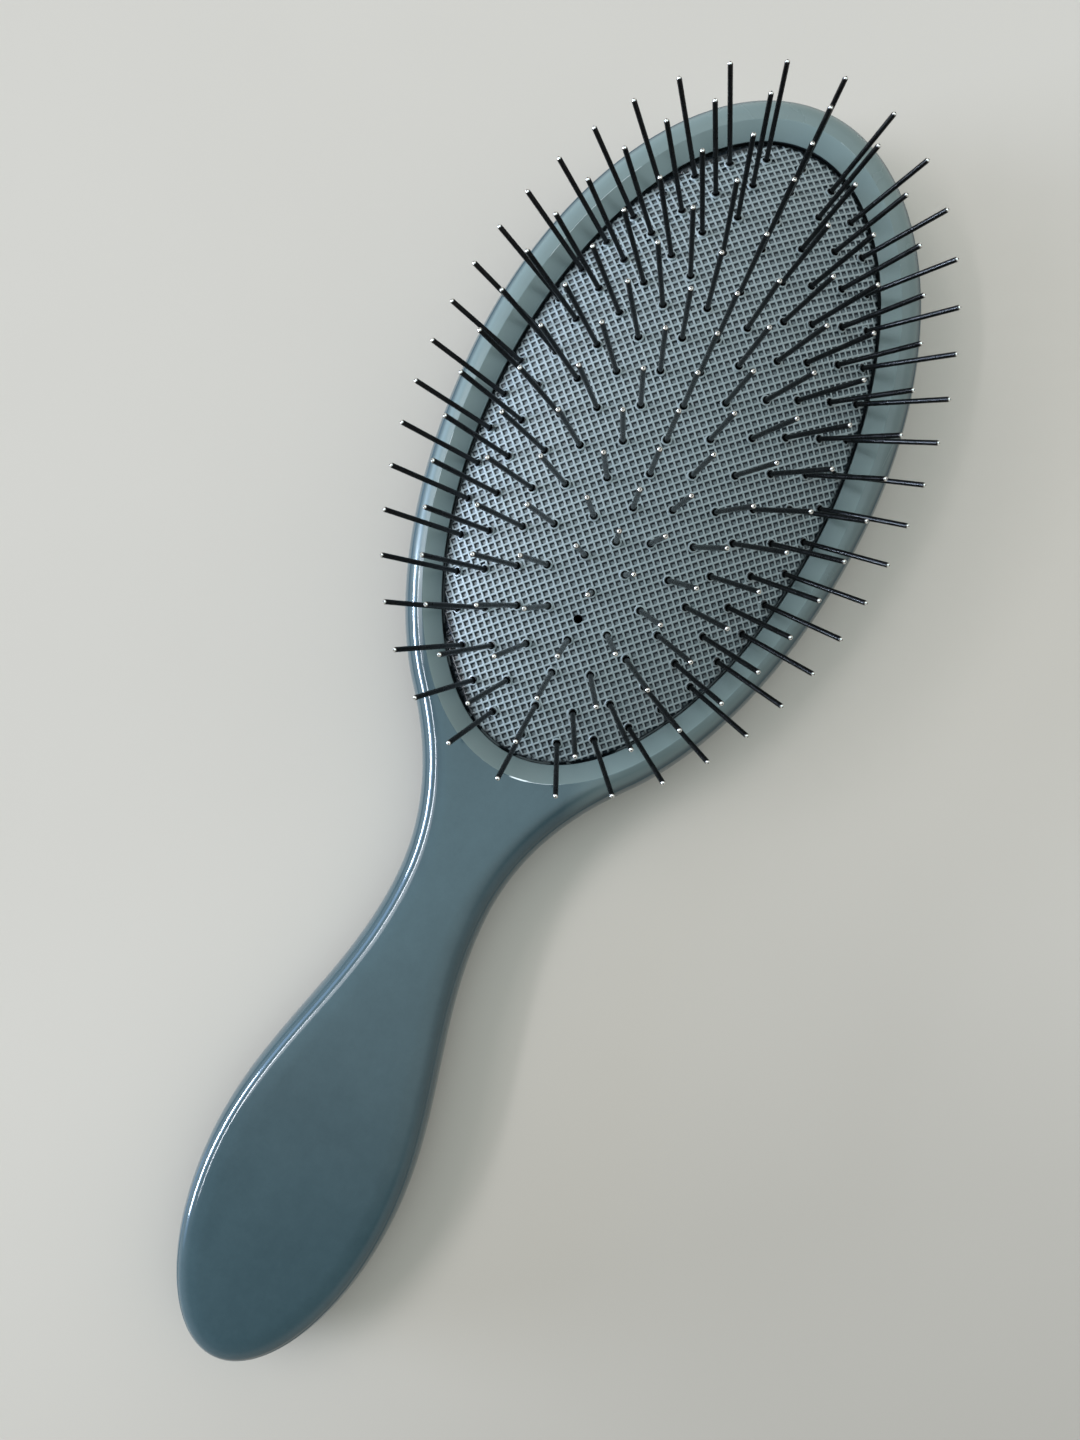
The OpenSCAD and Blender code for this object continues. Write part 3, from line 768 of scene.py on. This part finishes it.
# Stations whose inward line meets the cushion are joined to its crease, and those of the handle
# to the centreline. The few between them go round the crease's heel in equal steps.
reach, turn = oval_hit(CREASE + ROUNDING)
half_count = STATIONS // 2
heel_x = PAD_X - PAD_A - CREASE - ROUNDING
last_hit = int(np.nonzero(reach[:half_count] < NEAREST_REACH)[0][-1])
first_spine = last_hit + JOIN_STATIONS
turn[0] = 0
turn[last_hit:first_spine + 1] = np.linspace(turn[last_hit], math.pi, first_spine + 1 - last_hit)
left_turn = turn[:half_count + 1]
turn = np.concatenate([left_turn, -left_turn[-2:0:-1]])
on_oval = np.arange(STATIONS)
on_oval = np.minimum(on_oval, STATIONS - on_oval) <= first_spine
spine = spine_loop(FRONT_Z, heel_x)
band = np.minimum(reach, CROWN_INSET)
crease_z = shoulder_z(band)
inner = np.where(on_oval[:, None], oval_loop(CREASE + ROUNDING, FRONT_Z, turn), spine)
inner[:, 2] = np.where(on_oval, crease_z, FRONT_Z)
room = np.maximum(np.linalg.norm(inner[:, :2] - EDGE, axis=1), CROWN_INSET)
crown_x = BLEND_X - CROWN_START
bow = HANDLE_CROWN * np.clip((crown_x - EDGE[:, 0]) / (crown_x - NECK_X), 0, 1) ** 2


def eased(share):
    """A share from 0 to 1 that starts and ends gently."""
    share = np.clip(share, 0, 1)
    return share * share * (3 - 2 * share)


def face_z(inset):
    """Height of the front face at an inset, with the handle's faint crown taken off the edges."""
    drop = bow * (1 - np.minimum(inset / room, 1)) ** 2 * eased((inset - CROWN_EDGE) / CROWN_EASE)
    return shoulder_z(inset) - drop


def opening_loop(offset, height, handle_height=FRONT_Z):
    """Round the opening on an oval, and along the centreline behind it."""
    ring = oval_loop(offset, 0, turn)
    ring[:, 2] = height
    rest = spine.copy()
    rest[:, 2] = handle_height
    return np.where(on_oval[:, None], ring, rest)


slope = (crease_z - LIP_Z) / (CREASE - LIP)
front_rows = [opening_loop(LIP, FACE_LOW), opening_loop(LIP, LIP_Z - LIP_BREAK),
              opening_loop(LIP + 0.3 * LIP_BREAK, LIP_Z - 0.3 * LIP_BREAK),
              opening_loop(LIP + LIP_BREAK, LIP_Z + slope * LIP_BREAK),
              opening_loop(LIP + BEVEL_PART, LIP_Z + slope * BEVEL_PART),
              opening_loop(CREASE - 3 * ROUNDING, LIP_Z + slope * (CREASE - LIP - 3 * ROUNDING)),
              opening_loop(CREASE - ROUNDING, LIP_Z + slope * (CREASE - LIP - ROUNDING)),
              opening_loop(CREASE, crease_z - CREASE_DIP), inner]
for share in (0.95, 0.83, 0.66, 0.5, 0.33, 0.17):
    outer = inset_loop(band, 0)
    row = outer + (inner - outer) * share
    row[:, 2] = np.where(reach > CROWN_INSET, face_z(band + (room - band) * share), crease_z)
    front_rows.append(row)
seam_top = shoulder_inset(SEAM_Z + GROOVE)
for turned in np.radians(np.linspace(90, 0, SHOULDER_LEVELS)):
    share = 1 - math.cos(turned) ** (2 / SECTION_POWER)
    inset = seam_top + (band - seam_top) * share
    front_rows.append(inset_loop(inset, face_z(inset)))
for inset, height in (
    (seam_top + GROOVE_ROUND_IN, SEAM_Z + GROOVE - GROOVE_ROUND_UP),
    (shoulder_inset(SEAM_Z) + GROOVE, SEAM_Z + PARTING),
    (SKIRT_INSET, SEAM_Z + PARTING),
    (SKIRT_INSET, SKIRT_Z + EDGE_BREAK),
    (SKIRT_INSET + EDGE_BREAK, SKIRT_Z),
    (SKIRT_INSET + SKIRT_WALL, SKIRT_Z),
    (SKIRT_INSET + SKIRT_WALL, FACE_LOW),
):
    front_rows.append(inset_loop(inset, height))
front_rows.append(opening_loop(LIP, FACE_LOW, FACE_LOW))
front_shell = sealed(built_up("front_shell_moulding", front_rows), smooth=35)
peg_levels = [(PEG_TIP_R, PEG_LOW), (PEG_R, PEG_LOW + PEG_R - PEG_TIP_R), (PEG_R, FACE_LOW + PEG_ROOT)]
pegs = [sealed(built_up("peg", [round_loop(x, 0, *level, ROUND_SIDES) for level in peg_levels]),
               cap_ends=True) for x in PEG_XS]
joined(front_shell, *pegs)


def oval_share(places, offset):
    """Share of the cushion's oval moved out by an offset."""
    return np.hypot((places[:, 0] - PAD_X) / (PAD_A + offset), places[:, 1] / (PAD_B + offset))


# The bevel is lightened by dust and a painted sheen at the crease, and less so down at the lip, by angle
# round the cushion.
corners = places_of(front_shell)
angle = round_the_pad(corners)
upper = corners[:, 2] > LIP_Z - 2 * LIP_BREAK
bevel = upper & (oval_share(corners, CREASE - 0.5 * ROUNDING) < 1)
CREASE_DUST_AND_SHEEN = 0.95
lip_dust_and_sheen = np.interp(angle, [0, 20, 45, 90, 150, 185, 225, 270, 315, 360],
                     [0.4, 0.35, 0.8, 0.4, 0.1, 0.45, 0.45, 0.4, 0.9, 0.45])
down = np.clip((1 - oval_share(corners, CREASE)) / (1 - PAD_B / (PAD_B + CREASE - LIP)), 0, 1)
bevel_dust_and_sheen = CREASE_DUST_AND_SHEEN + (lip_dust_and_sheen - CREASE_DUST_AND_SHEEN) * down

# Dust and a painted sheen lighten the head's shoulder, and handling haze roughens it; both leave its left
# side at the heel clear.
DUST_AND_SHEEN_LOW, DUST_AND_SHEEN_RISE, HAZE_RISE = 0.3, 0.8, 3
shoulder_dust_and_sheen = np.interp(angle, [0, 60, 100, 122, 135, 200, 208, 230, 260, 300, 330, 360],
                          [1, 1, 0.85, 0.5, 0, 0, 0.6, 0.8, 0.6, 0.7, 1, 1])
shoulder_dust_and_sheen = shoulder_dust_and_sheen * eased((corners[:, 2] - SEAM_Z - DUST_AND_SHEEN_LOW) / DUST_AND_SHEEN_RISE)
shoulder_haze = np.interp(angle, [0, 70, 90, 120, 127, 200, 230, 360], [0.8, 1, 1, 1, 0, 0, 0.7, 0.8])
shoulder_haze = shoulder_haze * eased((corners[:, 2] - WAIST_Z) / HAZE_RISE)
marked(front_shell, "satin", np.where(bevel, 1, shoulder_haze))
marked(front_shell, "dust_and_sheen", np.where(bevel, bevel_dust_and_sheen, shoulder_dust_and_sheen))
# Painted shade darkens the lip's wall and underside inside the opening.
in_opening = oval_share(corners, LIP + LIP_BREAK / 2) < 1
marked(front_shell, "painted_shade", in_opening & (corners[:, 2] < LIP_Z - LIP_BREAK / 2))

# A painted highlight lies on the crease in four stretches.
on_crease = upper & (np.abs(oval_share(corners, CREASE) - 1) < 0.5 * ROUNDING / PAD_B)
crease_highlight_strength = np.interp(angle, [47, 49, 70, 72, 100, 102, 134, 137, 182, 184, 198, 200, 291, 293, 352, 358],
                    [0, 0.8, 0.75, 0, 0, 0.65, 0.5, 0, 0, 0.8, 0.8, 0, 0, 0.55, 0.55, 0])
marked(front_shell, "painted_crease_highlight", on_crease * crease_highlight_strength)
finished(front_shell, abs_plastic, "brush_body", "shell_plastic", "front_shell")


# Setting

# A pale matt table, daylight from a window at the left of the picture with sky and skylights above
# it, a soft fill from the room, and the camera straight above the brush.

TABLE_SIZE = 6
WINDOW_FOOT, DIM_CORNER = (-1.3, 3.1, 0.0), (-0.19, -0.2, 0.0)
bpy.ops.object.select_all(action="DESELECT")
bpy.ops.mesh.primitive_plane_add(size=TABLE_SIZE)
table = bpy.context.object
table.name = "table"
paint, nodes = new_material("matt_white_laminate")
place = add(nodes, "ShaderNodeTexCoord").outputs["Object"]
cloud = add(nodes, "ShaderNodeTexNoise", {"Vector": place, "Scale": 9.0, "Detail": 4.0})
shade = add(nodes, "ShaderNodeMix", {0: cloud.outputs["Fac"], 6: colour("#bdb3aa"),
                                     7: colour("#c5bbb2")}, data_type="RGBA")
# A painted shadow greys the laminate round one corner. Painted shade darkens it towards the
# window, so that the low light doesn't glare on it in views from the side.
far = add(nodes, "ShaderNodeVectorMath", {0: place, 1: DIM_CORNER}, operation="DISTANCE")
dim = add(nodes, "ShaderNodeMapRange", {"Value": far.outputs["Value"], "From Min": 0.08,
                                        "From Max": 0.28, "To Min": 0.45, "To Max": 0.0},
          interpolation_type="SMOOTHSTEP")
corner_shadowed = add(nodes, "ShaderNodeMix", {0: dim.outputs[0], 6: shade.outputs[2], 7: colour("#6f675c")},
           data_type="RGBA")
to_window = add(nodes, "ShaderNodeVectorMath", {0: place, 1: WINDOW_FOOT}, operation="DISTANCE")
shaded_side = add(nodes, "ShaderNodeMapRange", {"Value": to_window.outputs["Value"], "From Min": 1.4,
                                                "From Max": 3.15, "To Min": 0.97, "To Max": 0.0})
even = add(nodes, "ShaderNodeMix", {0: shaded_side.outputs[0], 6: corner_shadowed.outputs[2], 7: colour("#15140f")},
           data_type="RGBA")
surface = add(nodes, "ShaderNodeBsdfPrincipled", {
    "Base Color": even.outputs[2], "Roughness": 0.8, "Specular IOR Level": 0.25})
add(nodes, "ShaderNodeOutputMaterial", {"Surface": surface.outputs[0]})
table.data.materials.append(paint)


def area_light(name, bearing, height, away, size, watts, tint):
    """A flat light at a bearing and a height in degrees, which faces the brush."""
    data = bpy.data.lights.new(name, "AREA")
    data.shape, data.size, data.size_y = "RECTANGLE", size[0], size[1]
    data.energy, data.color, data.spread = watts, colour(tint)[:3], math.radians(60)
    lamp = bpy.data.objects.new(name, data)
    bpy.context.scene.collection.objects.link(lamp)
    around, up = math.radians(bearing), math.radians(height)
    lamp.location = [away * math.cos(up) * math.cos(around), away * math.cos(up) * math.sin(around),
                     away * math.sin(up)]
    lamp.rotation_euler = (-lamp.location).to_track_quat("-Z", "Y").to_euler()
    lamp.visible_camera = False
    return lamp


area_light("window", 115, 6.5, 3.4, (1.6, 0.36), 20.0, "#ddecfc")
area_light("sky", 108, 11, 3.4, (3.4, 1.2), 9.0, "#9cc2f8")
area_light("fanlight", 116, 40, 3.0, (1.4, 0.13), 2.4, "#f2f6ff")
area_light("skylight", 92, 45, 3.0, (1.9, 0.9), 3.2, "#f6f8ff")

world = bpy.data.worlds.new("room")
bpy.context.scene.world = world
world.use_nodes = True
nodes = world.node_tree.nodes
nodes.clear()
# The room has a bright patch of ceiling above the brush, longer along Y. Its walls are dim behind
# the handle's end, with a bounce of daylight beyond the head. Where the camera or a reflection
# looks low, an even pale backdrop stands instead of the walls.
heading = add(nodes, "ShaderNodeTexCoord").outputs["Generated"]
narrowed = add(nodes, "ShaderNodeVectorMath", {0: heading, 1: (1.0, 0.5, 0.0)}, operation="MULTIPLY")
from_top = add(nodes, "ShaderNodeVectorMath", {0: narrowed.outputs[0], 1: (0.08, 0.03, 0.0)},
               operation="DISTANCE")
glow = add(nodes, "ShaderNodeMapRange", {"Value": from_top.outputs["Value"], "From Min": 0.24,
                                         "From Max": 0.55, "To Min": 1.0, "To Max": 0.0},
           interpolation_type="SMOOTHSTEP")
uphill = add(nodes, "ShaderNodeVectorMath", {0: heading, 1: (0.896, 0.445, 0.0)}, operation="DOT_PRODUCT")
side = add(nodes, "ShaderNodeMapRange", {"Value": uphill.outputs["Value"], "From Min": -0.7,
                                         "From Max": -0.1, "To Min": 0.06, "To Max": 0.36},
           interpolation_type="SMOOTHSTEP")
bounce_way = add(nodes, "ShaderNodeVectorMath", {0: heading, 1: (0.72, -0.26, 0.643)},
                 operation="DOT_PRODUCT")
bounce = add(nodes, "ShaderNodeMapRange", {"Value": bounce_way.outputs["Value"], "From Min": 0.35,
                                           "From Max": 0.95, "To Min": 0.0, "To Max": 1.0},
             interpolation_type="SMOOTHSTEP")
walls = add(nodes, "ShaderNodeMath", {0: bounce.outputs[0], 1: 0.6, 2: side.outputs[0]},
            operation="MULTIPLY_ADD")
upright = add(nodes, "ShaderNodeSeparateXYZ", {0: heading}).outputs["Z"]
lift = add(nodes, "ShaderNodeMapRange", {"Value": upright, "From Min": 0.45, "From Max": 0.8,
                                         "To Min": 1.0, "To Max": 0.0}, interpolation_type="SMOOTHSTEP")
seen = add(nodes, "ShaderNodeLightPath").outputs
shown = add(nodes, "ShaderNodeMath", {0: seen["Is Camera Ray"], 1: seen["Is Glossy Ray"]}, operation="ADD")
shown = add(nodes, "ShaderNodeMath", {0: shown.outputs[0], 1: seen["Is Transmission Ray"]},
            operation="ADD", use_clamp=True)
backdrop = add(nodes, "ShaderNodeMath", {0: shown.outputs[0], 1: lift.outputs[0]}, operation="MULTIPLY")
room = add(nodes, "ShaderNodeMix", {0: backdrop.outputs[0], 2: walls.outputs[0], 3: 0.6})
level = add(nodes, "ShaderNodeMath", {0: glow.outputs[0], 1: 1.32, 2: room.outputs[0]},
            operation="MULTIPLY_ADD")
tone = add(nodes, "ShaderNodeMix", {0: glow.outputs[0], 6: colour("#f8f6f0"), 7: colour("#dcf8ff")},
           data_type="RGBA")
sky = add(nodes, "ShaderNodeBackground", {"Color": tone.outputs[2], "Strength": level.outputs[0]})
add(nodes, "ShaderNodeOutputWorld", {"Surface": sky.outputs[0]})

# The camera's lens, place and turn come from a fit to the pins and the outline in the photograph.
camera_data = bpy.data.cameras.new("camera")
camera_data.lens = 29.33
camera_data.clip_start = 0.01
camera = bpy.data.objects.new("camera", camera_data)
bpy.context.scene.collection.objects.link(camera)
camera.location = (0.00239, -0.00313, 0.20903)
camera.rotation_euler = [math.radians(turned) for turned in (0.433, 0.244, -63.58)]
bpy.context.scene.camera = camera
bpy.context.scene.view_settings.view_transform = "Standard"
